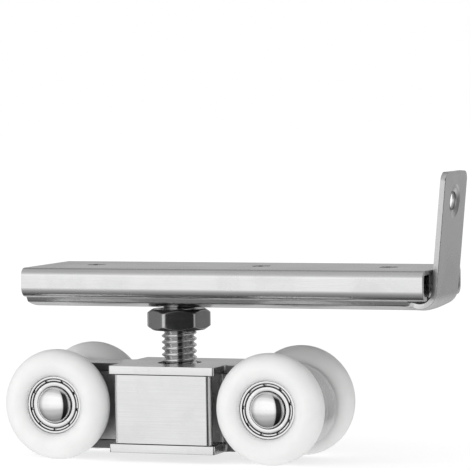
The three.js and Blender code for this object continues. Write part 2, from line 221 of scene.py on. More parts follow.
def boolean(a, b, operation):
    out = through_modifier(a, "BOOLEAN", b, operation=operation, solver="EXACT")
    bm = bmesh.new()
    bm.from_mesh(out)
    bmesh.ops.remove_doubles(bm, verts=bm.verts, dist=1e-4)
    bmesh.ops.dissolve_degenerate(bm, edges=bm.edges, dist=1e-4)
    bmesh.ops.dissolve_limit(
        bm, angle_limit=math.radians(0.3), verts=bm.verts, edges=bm.edges, use_dissolve_boundaries=False
    )
    bm.to_mesh(out)
    bm.free()
    return out


def eased(me, width, segments=2, angle=32):
    return through_modifier(
        me, "BEVEL", width=width, segments=segments, limit_method="ANGLE",
        angle_limit=math.radians(angle), use_clamp_overlap=True,
    )


def piece(name, node, body, material, me, grain, sharp=38, painted_shade=None):
    """Puts a mesh in place of a CAD node. grain(x, y, z) gives, in millimetres, the two directions across the
    brushing and a shrunken one along it, which the metal's lines follow."""
    me.name = name
    for key in [a.name for a in me.attributes if a.name in ("sharp_face", "sharp_edge")]:
        me.attributes.remove(me.attributes[key])
    co = np.empty(len(me.vertices) * 3, np.float64)
    me.vertices.foreach_get("co", co)
    co = co.reshape(-1, 3)
    g = np.stack([np.broadcast_to(np.asarray(c, float), (len(co),)) for c in grain(co[:, 0], co[:, 1], co[:, 2])], 1)
    attr = me.attributes.new("grain", "FLOAT_VECTOR", "POINT")
    attr.data.foreach_set("vector", g.astype(np.float32).ravel())
    # Per-vertex painted shade, 0 to 1, which the metal blends towards near-black
    dark = me.attributes.new("painted_shade", "FLOAT", "POINT")
    if painted_shade is not None:
        dark.data.foreach_set("value", np.clip(painted_shade(co[:, 0], co[:, 1], co[:, 2]), 0, 1).astype(np.float32))
    me.vertices.foreach_set("co", ((co - [0, 0, DOOR_FACE]) * 0.001).astype(np.float32).ravel())
    me.shade_smooth()
    me.set_sharp_from_angle(angle=math.radians(sharp))
    me.update()
    me = through_modifier(me, "WEIGHTED_NORMAL", mode="FACE_AREA", weight=90, keep_sharp=True, thresh=0.01)
    me.name = name
    me.materials.clear()
    me.materials.append(material)
    o = bpy.data.objects.new(name, me)
    scene.collection.objects.link(o)
    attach(o, body)
    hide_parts(node)
    return o


# ------------------------------------------------------------------ materials
def nodes_of(name):
    m = bpy.data.materials.new(name)
    m.use_nodes = True
    t = m.node_tree
    t.nodes.clear()
    out = t.nodes.new("ShaderNodeOutputMaterial")
    b = t.nodes.new("ShaderNodeBsdfPrincipled")
    t.links.new(b.outputs[0], out.inputs[0])
    return m, t, b


def noise(t, vector, scale, detail=2.0, rough=0.5, distortion=0.0):
    n = t.nodes.new("ShaderNodeTexNoise")
    n.noise_dimensions = "3D"
    n.inputs["Scale"].default_value = scale
    n.inputs["Detail"].default_value = detail
    n.inputs["Roughness"].default_value = rough
    n.inputs["Distortion"].default_value = distortion
    t.links.new(vector, n.inputs["Vector"])
    return n.outputs["Fac"]


def math_node(t, op, a, b=None, clamp=False):
    n = t.nodes.new("ShaderNodeMath")
    n.operation = op
    n.use_clamp = clamp
    for i, v in enumerate((a, b)):
        if v is None:
            continue
        if isinstance(v, (int, float)):
            n.inputs[i].default_value = v
        else:
            t.links.new(v, n.inputs[i])
    return n.outputs[0]


def remap(t, v, a, b, c, d, smooth=False):
    n = t.nodes.new("ShaderNodeMapRange")
    n.interpolation_type = "SMOOTHSTEP" if smooth else "LINEAR"
    n.clamp = True
    t.links.new(v, n.inputs["Value"])
    for k, x in zip(("From Min", "From Max", "To Min", "To Max"), (a, b, c, d)):
        n.inputs[k].default_value = x
    return n.outputs["Result"]


def blend_colour(t, fac, a, b):
    n = t.nodes.new("ShaderNodeMix")
    n.data_type = "RGBA"
    t.links.new(fac, n.inputs["Factor"])
    for i, v in ((6, a), (7, b)):
        if isinstance(v, tuple):
            n.inputs[i].default_value = (*v, 1.0)
        else:
            t.links.new(v, n.inputs[i])
    return n.outputs[2]


def grey(v, tint=(1.0, 1.0, 1.0)):
    return tuple(min(1.0, v * k) for k in tint)


def metal(name, base, rough, fine=7.0, coarse=1.6, lines=0.5, bump=0.10, smudge=0.04, wear_and_highlight=1.10,
          tint=(1.0, 1.0, 1.004), spots=0.0, cavity=None):
    """Steel whose brush lines follow the mesh's grain: fine and coarse lines in colour, gloss and relief,
    cloudy handling marks, painted shade from a per-vertex attribute, and lighter, smoother edges, the lightening partly
    painted highlight."""
    m, t, b = nodes_of(name)
    at = t.nodes.new("ShaderNodeAttribute")
    at.attribute_name = "grain"
    tc = t.nodes.new("ShaderNodeTexCoord")
    geo = t.nodes.new("ShaderNodeNewGeometry")
    n1 = noise(t, at.outputs["Vector"], fine, 4.0, 0.65)
    n2 = noise(t, at.outputs["Vector"], coarse, 3.0, 0.55)
    n3 = noise(t, tc.outputs["Object"], 85.0, 4.0, 0.6, 0.6)
    n4 = noise(t, tc.outputs["Object"], 900.0, 3.0, 0.6)
    lined = math_node(t, "ADD", math_node(t, "MULTIPLY", n1, 0.55), math_node(t, "MULTIPLY", n2, 0.45))
    f = remap(t, lined, 0.34, 0.66, 0.0, 1.0)
    lo, hi = base * (1 - 0.10 * lines), base * (1 + 0.09 * lines)
    colour = blend_colour(t, f, grey(lo, tint), grey(hi, tint))
    cloud = remap(t, n3, 0.38, 0.68, 0.0, 1.0, True)
    colour = blend_colour(t, math_node(t, "MULTIPLY", cloud, 0.55), colour, grey(base * 0.93, tint))
    if spots:
        pit = remap(t, n4, 0.66, 0.74, 0.0, spots)
        colour = blend_colour(t, pit, colour, grey(base * 0.45, tint))
    if cavity:
        sep = t.nodes.new("ShaderNodeSeparateXYZ")
        t.links.new(at.outputs["Vector"], sep.inputs[0])
        deep = remap(t, sep.outputs[0], cavity[0], cavity[1], 1.0, 0.0, True)
        colour = blend_colour(t, deep, colour, grey(base * cavity[2], tint))
    # Painted shade: the per-vertex attribute darkens the colour to near-black and roughens it
    painted_shade_attr = t.nodes.new("ShaderNodeAttribute")
    painted_shade_attr.attribute_name = "painted_shade"
    painted_shade = math_node(t, "MULTIPLY", painted_shade_attr.outputs["Fac"], remap(t, n3, 0.3, 0.7, 1.0, 0.82))
    colour = blend_colour(t, painted_shade, colour, (0.012, 0.012, 0.012))
    # Lighter edges found by pointiness: partly worn, ground edges, partly painted highlight
    edge = remap(t, geo.outputs["Pointiness"], 0.515, 0.60, 0.0, 1.0, True)
    edge = math_node(t, "MULTIPLY", edge, math_node(t, "SUBTRACT", 1.0, painted_shade))
    colour = blend_colour(t, edge, colour, grey(min(0.95, base * wear_and_highlight), tint))
    t.links.new(colour, b.inputs["Base Color"])
    b.inputs["Metallic"].default_value = 1.0
    r = remap(t, math_node(t, "ADD", math_node(t, "MULTIPLY", n2, 0.5), math_node(t, "MULTIPLY", n3, 0.5)),
              0.36, 0.66, rough[0], rough[1])
    r = math_node(t, "ADD", r, math_node(t, "MULTIPLY", math_node(t, "SUBTRACT", n1, 0.5), 0.10 * lines))
    r = math_node(t, "ADD", r, math_node(t, "MULTIPLY", cloud, smudge))
    r = math_node(t, "SUBTRACT", r, math_node(t, "MULTIPLY", edge, 0.05))
    r = math_node(t, "ADD", r, math_node(t, "MULTIPLY", painted_shade, 0.3))
    r = math_node(t, "MAXIMUM", r, 0.03)
    t.links.new(r, b.inputs["Roughness"])
    bp = t.nodes.new("ShaderNodeBump")
    bp.inputs["Strength"].default_value = bump
    bp.inputs["Distance"].default_value = 0.00006
    t.links.new(lined, bp.inputs["Height"])
    if spots:
        b2 = t.nodes.new("ShaderNodeBump")
        b2.inputs["Strength"].default_value = 0.25
        b2.inputs["Distance"].default_value = 0.00004
        t.links.new(n4, b2.inputs["Height"])
        t.links.new(bp.outputs[0], b2.inputs["Normal"])
        bp = b2
    t.links.new(bp.outputs[0], b.inputs["Normal"])
    return m


def nylon(name):
    """Moulded white nylon: milky, faintly mottled, with a soft sheen and fine turning marks from running."""
    m, t, b = nodes_of(name)
    tc = t.nodes.new("ShaderNodeTexCoord")
    at = t.nodes.new("ShaderNodeAttribute")
    at.attribute_name = "grain"
    n1 = noise(t, tc.outputs["Object"], 140.0, 4.0, 0.55, 0.4)
    n2 = noise(t, at.outputs["Vector"], 4.5, 3.0, 0.6)
    n3 = noise(t, tc.outputs["Object"], 2600.0, 2.0, 0.5)
    colour = blend_colour(t, remap(t, n1, 0.35, 0.68, 0.0, 1.0, True), (0.825, 0.825, 0.822), (0.790, 0.791, 0.790))
    worn = t.nodes.new("ShaderNodeSeparateXYZ")
    t.links.new(at.outputs["Vector"], worn.inputs[0])
    track = remap(t, worn.outputs[0], 11.9, 12.5, 0.0, 1.0, True)
    scuff = math_node(t, "MULTIPLY", track, remap(t, n2, 0.45, 0.7, 0.0, 1.0))
    colour = blend_colour(t, math_node(t, "MULTIPLY", scuff, 0.35), colour, (0.70, 0.70, 0.70))
    t.links.new(colour, b.inputs["Base Color"])
    r = math_node(t, "ADD", remap(t, n1, 0.35, 0.68, 0.36, 0.46), math_node(t, "MULTIPLY", scuff, 0.12))
    r = math_node(t, "ADD", r, math_node(t, "MULTIPLY", math_node(t, "SUBTRACT", n2, 0.5), 0.06))
    t.links.new(r, b.inputs["Roughness"])
    b.inputs["IOR"].default_value = 1.53
    b.inputs["Specular IOR Level"].default_value = 0.42
    b.inputs["Subsurface Weight"].default_value = 0.6
    b.inputs["Subsurface Radius"].default_value = (1.0, 0.98, 0.95)
    b.inputs["Subsurface Scale"].default_value = 0.0025
    b.inputs["Coat Weight"].default_value = 0.04
    b.inputs["Coat Roughness"].default_value = 0.35
    h = math_node(t, "ADD", math_node(t, "MULTIPLY", n3, 0.35), math_node(t, "MULTIPLY", n2, 0.65))
    bp = t.nodes.new("ShaderNodeBump")
    bp.inputs["Strength"].default_value = 0.07
    bp.inputs["Distance"].default_value = 0.00008
    t.links.new(h, bp.inputs["Height"])
    t.links.new(bp.outputs[0], b.inputs["Normal"])
    return m


MAT = {
    "rail": metal("stainless_rolled", 0.76, (0.22, 0.30), fine=6.0, coarse=1.3, lines=1.0, bump=0.10, spots=0.0),
    "plate": metal("stainless_brushed", 0.76, (0.20, 0.28), fine=8.0, coarse=2.4, lines=1.1, bump=0.10),
    "block": metal("stainless_ground", 0.755, (0.22, 0.28), fine=9.0, coarse=3.0, lines=0.95, bump=0.10, smudge=0.02),
    "tab": metal("stainless_sheet", 0.68, (0.20, 0.28), fine=6.0, coarse=1.5, lines=1.1, bump=0.10, spots=0.25),
    "bright": metal("steel_polished", 0.86, (0.05, 0.09), fine=9.0, coarse=3.0, lines=0.2, bump=0.01, smudge=0.02),
    "race": metal("steel_race", 0.82, (0.12, 0.18), fine=10.0, coarse=3.0, lines=0.4, bump=0.03),
    "shield": metal("steel_shield", 0.84, (0.18, 0.24), fine=9.0, coarse=2.5, lines=0.4, bump=0.03),
    "cage": metal("steel_cage", 0.50, (0.30, 0.42), fine=8.0, coarse=2.0, lines=0.4, bump=0.08),
    "nut": metal("steel_plated", 0.52, (0.13, 0.20), fine=5.0, coarse=1.4, lines=0.5, bump=0.07, spots=0.30, wear_and_highlight=1.8),
    "bolt": metal("steel_bolt", 0.90, (0.08, 0.14), fine=7.0, coarse=2.0, lines=0.4, bump=0.03,
                  cavity=(3.32, 3.62, 0.40), wear_and_highlight=1.08),
    "nylon": nylon("nylon_white"),
}


# ------------------------------------------------------------------ grain of each kind of piece
def grain_x(x, y, z):
    return y, z, 0.03 * x


def grain_level(x, y, z):
    """Lines lying level on upright faces, and along X on level ones."""
    return z, 0.35 * y, 0.012 * x


def turned_y(cx, cz):
    def g(x, y, z):
        dx, dz = x - cx, z - cz
        r = np.hypot(dx, dz)
        return r, y, 0.12 * dx / np.maximum(r, 0.3)
    return g


def turned_z(x, y, z):
    r = np.hypot(x, y)
    return r, z, 0.12 * x / np.maximum(r, 0.3)


def band_grain(x, y, z):
    """Along the strip as it wraps round the carriage."""
    dz = z - BAND_Z
    over = np.abs(x) > BAND_CX
    ang = np.arctan2(np.abs(x) - BAND_CX, np.abs(dz))
    s = np.where(over, np.sign(x) * (BAND_CX + BAND_R * ang), x)
    d = np.where(over, np.hypot(np.abs(x) - BAND_CX, dz), np.abs(dz))
    return y, d, 0.03 * s


# ------------------------------------------------------------------ carriage band and block
def stadium(r, n):
    return arc(BAND_CX, BAND_Z, r, -90, 90, n) + arc(-BAND_CX, BAND_Z, r, 90, 270, n)


def cross_plan(wx, wy, ax, ay, corner, notch, n):
    return (
        [(ax, -ay), (ax, ay)]
        + arc(wx + notch, ay + notch, notch, 270, 180, n)
        + arc(wx - corner, wy - corner, corner, 0, 90, n)
        + arc(-wx + corner, wy - corner, corner, 90, 180, n)
        + arc(-wx - notch, ay + notch, notch, 360, 270, n)
        + [(-ax, ay), (-ax, -ay)]
        + arc(-wx - notch, -ay - notch, notch, 90, 0, n)
        + arc(-wx + corner, -wy + corner, corner, 180, 270, n)
        + arc(wx - corner, -wy + corner, corner, 270, 360, n)
        + arc(wx + notch, -ay - notch, notch, 180, 90, n)
    )


def cylinder(r, lo, hi, axis, x=0.0, z=0.0, segs=64):
    return lathe([(0, lo), (r, lo), (r, hi), (0, hi)], axis, segs, x, z)


ring = boolean(
    prism(stadium(BAND_R, 40), -20, 20, "Y"),
    prism(stadium(BAND_R - BAND_T, 40), -21, 21, "Y"),
    "DIFFERENCE",
)
band = boolean(ring, prism(cross_plan(PLATE_X, PLATE_Y, 45, ARM_Y, 0.45, 0.9, 6), -2, 26, "Z"), "INTERSECT")
band = boolean(band, cylinder(END_HOLE_R, -3, 27, "Z", segs=72), "DIFFERENCE")
band = eased(band, 0.13, 2)

core = boolean(
    prism(stadium(BAND_R - BAND_T - 0.12, 36), -20, 20, "Y"),
    prism(cross_plan(BLOCK_X, BLOCK_Y, 45, BLOCK_ARM_Y, 1.25, 0.5, 9), -2, 26, "Z"),
    "INTERSECT",
)
core = boolean(core, cylinder(THREAD_R + 0.22, -3, 27, "Z", segs=64), "DIFFERENCE")
for sx in (-1, 1):
    core = boolean(core, cylinder(AXLE_R + 0.04, -20, 20, "Y", sx * AXLE_X, AXLE_Z, 48), "DIFFERENCE")
core = eased(core, 0.12, 2)


def arm_painted_shade(x, y, z):
    """Painted shade on the arms beside the running wheels, heavier toward the tab end."""
    beside = np.clip((np.abs(x) - BLOCK_X - 0.15) / 0.5, 0, 1)
    return beside * np.where(x > 0, 0.80, 0.42)


# Painted shade on the band's inner faces and edges beside the wheels, where it lies in shadow.
def band_painted_shade(x, y, z):
    beside = np.clip((np.abs(x) - PLATE_X - 0.15) / 0.4, 0, 1)
    depth = np.where(np.abs(x) > BAND_CX, np.hypot(np.abs(x) - BAND_CX, z - BAND_Z), np.abs(z - BAND_Z))
    inside = depth < BAND_R - 0.06
    return beside * np.where(inside, 0.85, 0.0)


piece("centre_block_fine", "centre_block", "carriage", MAT["block"], core, grain_level, 38, arm_painted_shade)
piece("carriage_band_fine", "carriage_band", "carriage", MAT["plate"], band, band_grain, 38, band_painted_shade)

# ------------------------------------------------------------------ axles with domed, riveted heads
head0 = WHEEL_Y + BEARING_W / 2 + 0.05
dome = [
    (AXLE_HEAD_R * math.sin(math.radians(a)), head0 + 0.08 + 1.36 * math.cos(math.radians(a)))
    for a in (0, 4, 8, 13, 18, 24, 30, 36, 42, 48, 54, 60, 66, 71, 76, 80, 84, 87, 90)
]
half = list(reversed(dome)) + []
half_profile = [(AXLE_R, head0 + 0.02), (AXLE_R + 0.1, head0), (AXLE_HEAD_R - 0.06, head0), (AXLE_HEAD_R, head0 + 0.05)] + half
for side, sx in (("left", -1), ("right", 1)):
    profile = [(r, -h) for r, h in reversed(half_profile)] + half_profile
    piece("axle_%s_fine" % side, "axle_" + side, "carriage", MAT["bright"],
          lathe(profile, "Y", 96, sx * AXLE_X, AXLE_Z), turned_y(sx * AXLE_X, AXLE_Z), 50)

# ------------------------------------------------------------------ wheels
tread_c = 3.55
tyre_half = (
    [(BEARING_R + 0.03, 0.0), (BEARING_R + 0.03, 2.22), (BEARING_R + 0.09, 2.34), (BEARING_R + 0.2, 2.38)]
    + curve_through([(6.80, 2.62), (7.15, 2.98), (7.75, 3.34), (8.4, 3.57), (8.95, 3.68)], 5)
    + [
        (WHEEL_R - tread_c + tread_c * math.sin(math.radians(a)), WHEEL_T / 2 * math.cos(math.radians(a)))
        for a in range(5, 91, 5)
    ]
)
outer_profile = rounded(
    [(5.3, -1.4), (5.95, -1.4), (5.95, -2.0), (6.5, -2.0), (6.5, 2.0), (5.95, 2.0), (5.95, 1.4), (5.3, 1.4),
     (5.3, 1.15), (5.85, 0.6), (5.85, -0.6), (5.3, -1.15)],
    [0.03, 0, 0.06, 0.11, 0.11, 0.06, 0, 0.03, 0.03, 0.1, 0.1, 0.03], 3,
)
inner_profile = rounded(
    [(2.54, -2.0), (3.75, -2.0), (3.75, -1.15), (3.25, -0.6), (3.25, 0.6), (3.75, 1.15), (3.75, 2.0), (2.54, 2.0)],
    [0.1, 0.08, 0.05, 0.1, 0.1, 0.05, 0.08, 0.1], 3,
)


def shield_profile():
    return [
        (4.02, 1.50), (4.02, 1.60), (4.07, 1.68), (4.12, 1.72), (4.20, 1.79), (4.28, 1.825), (4.38, 1.84),
        (4.70, 1.85), (5.02, 1.84), (5.10, 1.82), (5.17, 1.72), (5.20, 1.64), (5.25, 1.60), (5.30, 1.64),
        (5.33, 1.72), (5.40, 1.82), (5.48, 1.845), (5.68, 1.845), (5.78, 1.82), (5.83, 1.76), (5.86, 1.70),
        (5.86, 1.50),
    ]


def notched(r, h, a):
    """Nine stake notches in the rolled rim."""
    step = 2 * math.pi / NOTCHES
    d = math.degrees(abs((a + step / 2) % step - step / 2))
    k = 1.0 if d < 2.2 else max(0.0, 1 - (d - 2.2) / 1.4)
    if k and r > 5.33:
        r = r + (5.34 + (r - 5.34) * 0.06 - r) * k
        h = h + (min(h, 1.62) - h) * k
    return r, h


def near(r, rings):
    """1 on each (radius, half width, strength) ring, fading over a twentieth of a millimetre."""
    out = np.zeros(len(r))
    for r0, w, k in rings:
        out = np.maximum(out, k * np.clip(1 - (np.abs(r - r0) - w) / 0.05, 0, 1))
    return out


# Painted shade: dark rings at the bearing's grooves, steps and seams, and in the shield's stake notches.
def ring_painted_shade(x0, rings, notch_at=None):
    def f(x, y, z):
        r = np.hypot(x - x0, z - AXLE_Z)
        out = near(r, rings)
        if notch_at is not None:
            a = np.arctan2(x - x0, z - AXLE_Z) - notch_at
            step = 2 * math.pi / NOTCHES
            d = np.degrees(np.abs((a + step / 2) % step - step / 2))
            out = np.maximum(out, (r > 5.28) * np.clip(1 - (d - 2.3) / 1.3, 0, 1))
        return out
    return f


for name, sx, sy in (("front_left", -1, -1), ("front_right", 1, -1), ("rear_left", -1, 1), ("rear_right", 1, 1)):
    x, y = sx * AXLE_X, sy * WHEEL_Y
    body, g = "wheel_" + name, turned_y(x, AXLE_Z)
    tyre = [(r, y - h) for r, h in tyre_half] + [(r, y + h) for r, h in reversed(tyre_half[1:-1])]
    piece("tyre_%s_fine" % name, "tyre_" + name, body, MAT["nylon"],
          lathe(tyre, "Y", 128, x, AXLE_Z), g, 60)
    piece("bearing_outer_%s_fine" % name, "bearing_outer_" + name, body, MAT["race"],
          lathe([(r, y + h) for r, h in outer_profile], "Y", 108, x, AXLE_Z), g, 50,
          ring_painted_shade(x, [(5.7, 0.26, 1.0), (6.5, 0.06, 0.9)]))
    piece("bearing_inner_%s_fine" % name, "bearing_inner_" + name, "carriage", MAT["race"],
          lathe([(r, y + h) for r, h in inner_profile], "Y", 72, x, AXLE_Z), g, 50,
          ring_painted_shade(x, [(3.3, 0.6, 1.0)]))
    spin = {"front_left": 0.35, "front_right": 0.60, "rear_left": 0.12, "rear_right": 0.45}[name]
    for side, s in (("out", sy), ("in", -sy)):
        prof = [(r, y + s * h) for r, h in shield_profile()]

        def warp(r, h, a, s=s, y=y):
            rr, hh = notched(r, (h - y) * s, a - spin)
            return rr, y + s * hh
        piece("shield_%s_%s_fine" % (side, name), "shield_%s_%s" % (side, name), body,
              MAT["shield"], lathe(prof, "Y", 288, x, AXLE_Z, warp), g, 45,
              ring_painted_shade(x, [(4.06, 0.09, 1.0), (5.25, 0.08, 1.0), (5.86, 0.06, 1.0)], spin))

    # pressed cage: a ring between the balls, with the balls set in it
    bm = bmesh.new()
    bm.from_mesh(lathe(rounded([(4.2, y - 0.5), (4.9, y - 0.5), (4.9, y + 0.5), (4.2, y + 0.5)], 0.15, 3),
                       "Y", 70, x, AXLE_Z))
    for i in range(BALLS):
        a = i * 2 * math.pi / BALLS
        bmesh.ops.create_uvsphere(
            bm, u_segments=20, v_segments=12, radius=BALL_R,
            matrix=Matrix.Translation((x + PITCH_R * math.sin(a), y, AXLE_Z + PITCH_R * math.cos(a))),
        )
    cage = bpy.data.meshes.new("cage")
    bm.to_mesh(cage)
    bm.free()
    piece("ball_cage_%s_fine" % name, "ball_cage_" + name, "cage_" + name, MAT["cage"], cage, g, 50)

    a0, a1 = BLOCK_ARM_Y + 0.05, WHEEL_Y - BEARING_W / 2 - 0.05
    lo, hi = (a0, a1) if sy > 0 else (-a1, -a0)
    piece("spacer_%s_fine" % name, "spacer_" + name, "carriage", MAT["race"],
          lathe(rounded([(2.54, lo), (3.5, lo), (3.5, hi), (2.54, hi)], [0.08, 0.15, 0.15, 0.08], 3),
                "Y", 64, x, AXLE_Z), g, 50)


# ------------------------------------------------------------------ hanger bolt
def thread_r(z, a):
    """Radius of a right-handed 60 degree thread with rounded roots and crests."""
    f = (z / PITCH - a / (2 * math.pi)) % 1.0
    d = abs(f - 0.5) * 2  # 0 at the root, 1 at the crest
    root, crest = THREAD_R - 0.66, THREAD_R
    k = min(1.0, max(0.0, (d - 0.06) / 0.84))
    return root + (crest - root) * (0.5 - 0.5 * math.cos(math.pi * k))


verts, faces = [], []
SEG = 96
rows = []
end_shape = [(0.0, 5.0), (1.6, 5.12), (2.8, 5.45), (3.3, 5.85), (3.97, 6.6)]


def end_r(z):
    for (r0, z0), (r1, z1) in zip(end_shape, end_shape[1:]):
        if z <= z1:
            return r0 + (r1 - r0) * (z - z0) / (z1 - z0)
    return THREAD_R


zs = []
z = 5.62
while z < BOLT_HEAD_Z - 0.02:
    zs.append(z)
    z += PITCH / 14
zs.append(BOLT_HEAD_Z - 0.001)
# the domed end, then the threaded shank, then the round head
for r, zz in curve_through([(0.0, 5.0), (0.8, 5.02), (1.6, 5.10), (2.3, 5.26), (2.8, 5.46)], 3):
    rows.append([(r, zz)] * (1 if r < 1e-6 else SEG))
for zz in zs:
    fade = min(1.0, max(0.0, (BOLT_HEAD_Z - 1.2 - zz) / 1.4))
    ring_ = []
    for k in range(SEG):
        a = 2 * math.pi * k / SEG
        r = thread_r(zz, a)
        r = (THREAD_R - 0.25) * (1 - fade) + r * fade
        ring_.append((min(r, end_r(zz)), zz))
    rows.append(ring_)
head = rounded(
    [(THREAD_R + 0.15, BOLT_HEAD_Z), (BOLT_HEAD_R, BOLT_HEAD_Z), (BOLT_HEAD_R, BOLT_HEAD_Z + BOLT_HEAD_H),
     (0, BOLT_HEAD_Z + BOLT_HEAD_H)],
    [0, 0.2, 0.8, 0], 5, closed=False,
)
for r, zz in head:
    rows.append([(r, zz)] * (1 if r < 1e-6 else SEG))
index = []
for row in rows:
    ids = []
    for k, (r, zz) in enumerate(row):
        a = 2 * math.pi * k / SEG
        verts.append((r * math.cos(a), r * math.sin(a), zz))
        ids.append(len(verts) - 1)
    index.append(ids)
for p, q in zip(index, index[1:]):
    for k in range(SEG):
        j = (k + 1) % SEG
        if len(p) == 1:
            faces.append((p[0], q[k], q[j]))
        elif len(q) == 1:
            faces.append((p[k], q[0], p[j]))
        else:
            faces.append((p[k], q[k], q[j], p[j]))
piece("hanger_bolt_fine", "hanger_bolt", "bolt", MAT["bolt"], mesh_of(verts, faces), turned_z, 55)


# ------------------------------------------------------------------ lock nut
def hex_r(a, corner=0.5):
    """Distance to the rounded hexagon's side at this angle."""
    step = math.pi / 3
    t = (a - math.radians(NUT_TURN) + step / 2) % step - step / 2  # 0 at a corner
    flat = NUT_AF / 2 / math.cos(math.pi / 6 - abs(t))
    rim = NUT_AF / math.sqrt(3) - 0.10
    k = 0.16
    return -k * math.log(math.exp(-flat / k) + math.exp(-rim / k)) if abs(t) < 0.25 else flat


NSEG = 216
bore = THREAD_R + 0.16
levels = [(bore + 0.0, 0.62, 0), (bore + 0.25, 0.22, 0), (bore + 0.52, 0.02, 0), (bore + 0.66, 0.0, 0),
          (5.55, 0.0, 0), (5.78, 0.015, 0)]
cone0, cone_h = 5.92, 0.98
side = [i / 12 for i in range(13)]
verts, rows = [], []


def nut_row(fn):
    ids = []
    for k in range(NSEG):
        a = 2 * math.pi * k / NSEG + math.radians(NUT_TURN)
        r, zz = fn(a)
        verts.append((r * math.cos(a), r * math.sin(a), zz))
        ids.append(len(verts) - 1)
    rows.append(ids)


def cone_r(h):
    return cone0 + (NUT_AF / math.sqrt(3) + 0.06 - cone0) * h / cone_h


def side_r(a, h):
    """The hexagon cut by the chamfer's cone, with the edge between them slightly rounded."""
    hr, cr, k = hex_r(a), cone_r(h), 0.05
    return -k * math.log(math.exp(-hr / k) + math.exp(-cr / k)) if abs(hr - cr) < 0.5 else min(hr, cr)


for r, dz, _ in levels:
    nut_row(lambda a, r=r, dz=dz: (r, NUT_Z + dz))
heights = [0.0, 0.04, 0.1, 0.17, 0.24, 0.31, 0.38, 0.46, 0.54, 0.62, 0.7, 0.78, 0.86, 0.94, 1.02, 1.1, 1.3]
for h in heights:
    nut_row(lambda a, h=h: (side_r(a, h), NUT_Z + h))
for h in (1.8, 2.38, 2.96):
    nut_row(lambda a, h=h: (hex_r(a), NUT_Z + h))
for h in reversed(heights):
    nut_row(lambda a, h=h: (side_r(a, h), NUT_Z + NUT_H - h))
for r, dz, _ in reversed(levels):
    nut_row(lambda a, r=r, dz=dz: (r, NUT_Z + NUT_H - dz))
# thread turns inside the bore
inside = []
zz = NUT_Z + NUT_H - 0.75
while zz > NUT_Z + 0.70:
    inside.append(zz)
    zz -= PITCH / 10
for zz in inside:
    nut_row(lambda a, zz=zz: (bore + 0.11 - 0.10 * math.cos(2 * math.pi * (zz / PITCH - a / (2 * math.pi))), zz))
faces = []
for p, q in zip(rows, rows[1:] + rows[:1]):
    for k in range(NSEG):
        j = (k + 1) % NSEG
        faces.append((p[k], q[k], q[j], p[j]))


def nut_painted_shade(x, y, z):
    """Painted shade on the chamfers."""
    h = np.minimum(z - NUT_Z, NUT_Z + NUT_H - z)
    cone = cone0 + (NUT_AF / math.sqrt(3) + 0.06 - cone0) * h / cone_h
    hexa = np.array([hex_r(a) for a in np.arctan2(y, x)])
    return (np.hypot(x, y) > 5.85) * 0.8 * np.clip((hexa - cone - 0.05) / 0.14, 0, 1)


piece("lock_nut_fine", "lock_nut", "nut", MAT["nut"], mesh_of(verts, faces), grain_level, 32, nut_painted_shade)


# ------------------------------------------------------------------ door channel
def zh(h):
    return DOOR_FACE - h


ro, rl, tk = 1.8, 2.2, CHANNEL_T
right = (
    arc(CHANNEL_Y - ro, ro, ro, -90, 0, 10)
    + arc(CHANNEL_Y - rl, CHANNEL_DEPTH - rl, rl, 0, 90, 10)
    + [(LIP_Y + 0.22, CHANNEL_DEPTH), (LIP_Y + 0.06, CHANNEL_DEPTH - 0.06), (LIP_Y, CHANNEL_DEPTH - 0.22),
       (LIP_Y, CHANNEL_DEPTH - tk + 0.15), (LIP_Y + 0.12, CHANNEL_DEPTH - tk)]
    + arc(CHANNEL_Y - rl, CHANNEL_DEPTH - rl, rl - tk, 90, 0, 6)
    + arc(CHANNEL_Y - ro, ro, ro - tk, 0, -90, 6)
)
section = right + [(-y, h) for y, h in reversed(right)]
channel = prism([(y, zh(h)) for y, h in section], CHANNEL_X0, CHANNEL_X1, "X", bevel=0.10, steps=24)
for x in SCREW_X:
    cut = lathe([(0, zh(-1)), (2.1, zh(-1)), (2.1, zh(0.38)), (3.72, zh(1.02)), (3.72, zh(3)), (0, zh(3))], "Z", 48)
    cut.transform(Matrix.Translation((x, 0, 0)))
    channel = boolean(channel, cut, "DIFFERENCE")
piece("door_channel_fine", "door_channel", "channel", MAT["rail"], channel, grain_x)


# ------------------------------------------------------------------ hanger plate
def crown(y):
    return HAT_H - HAT_SAG * (y / HAT_SHOULDER_Y) ** 2


f0, f1 = FLANGE_TOP, FLANGE_TOP + SHEET
crown_out = [(y, crown(y)) for y in np.linspace(0, 7.2, 13)]
crown_in = [(y * 0.97, crown(y) - SHEET) for y in np.linspace(0, 7.2, 13)]
half_out = crown_out[:-1] + rounded(
    [crown_out[-2], (7.75, 8.02), (8.45, 6.95), (8.6, 3.2), (8.95, f1 + 0.12), (FLANGE_Y, f1)],
    [0, 0.9, 0.9, 0, 0.7, 0], 6, closed=False,
)[1:-1] + [(FLANGE_Y - 0.2, f1), (FLANGE_Y - 0.05, f1 - 0.06), (FLANGE_Y, f1 - 0.22), (FLANGE_Y, f0 + 0.2),
           (FLANGE_Y - 0.06, f0 + 0.05), (FLANGE_Y - 0.2, f0)]
half_in = rounded(
    [(FLANGE_Y - 0.3, f0), (7.95, f0), (7.35, 2.6), (7.2, 6.4), (6.7, 7.0), crown_in[-3]],
    [0, 0.9, 0.6, 0.5, 0.5, 0], 6, closed=False,
)[1:-1] + list(reversed(crown_in[:-2]))
right = half_out + half_in
section = right[:-1] + [(-y, h) for y, h in reversed(right)][:-1]
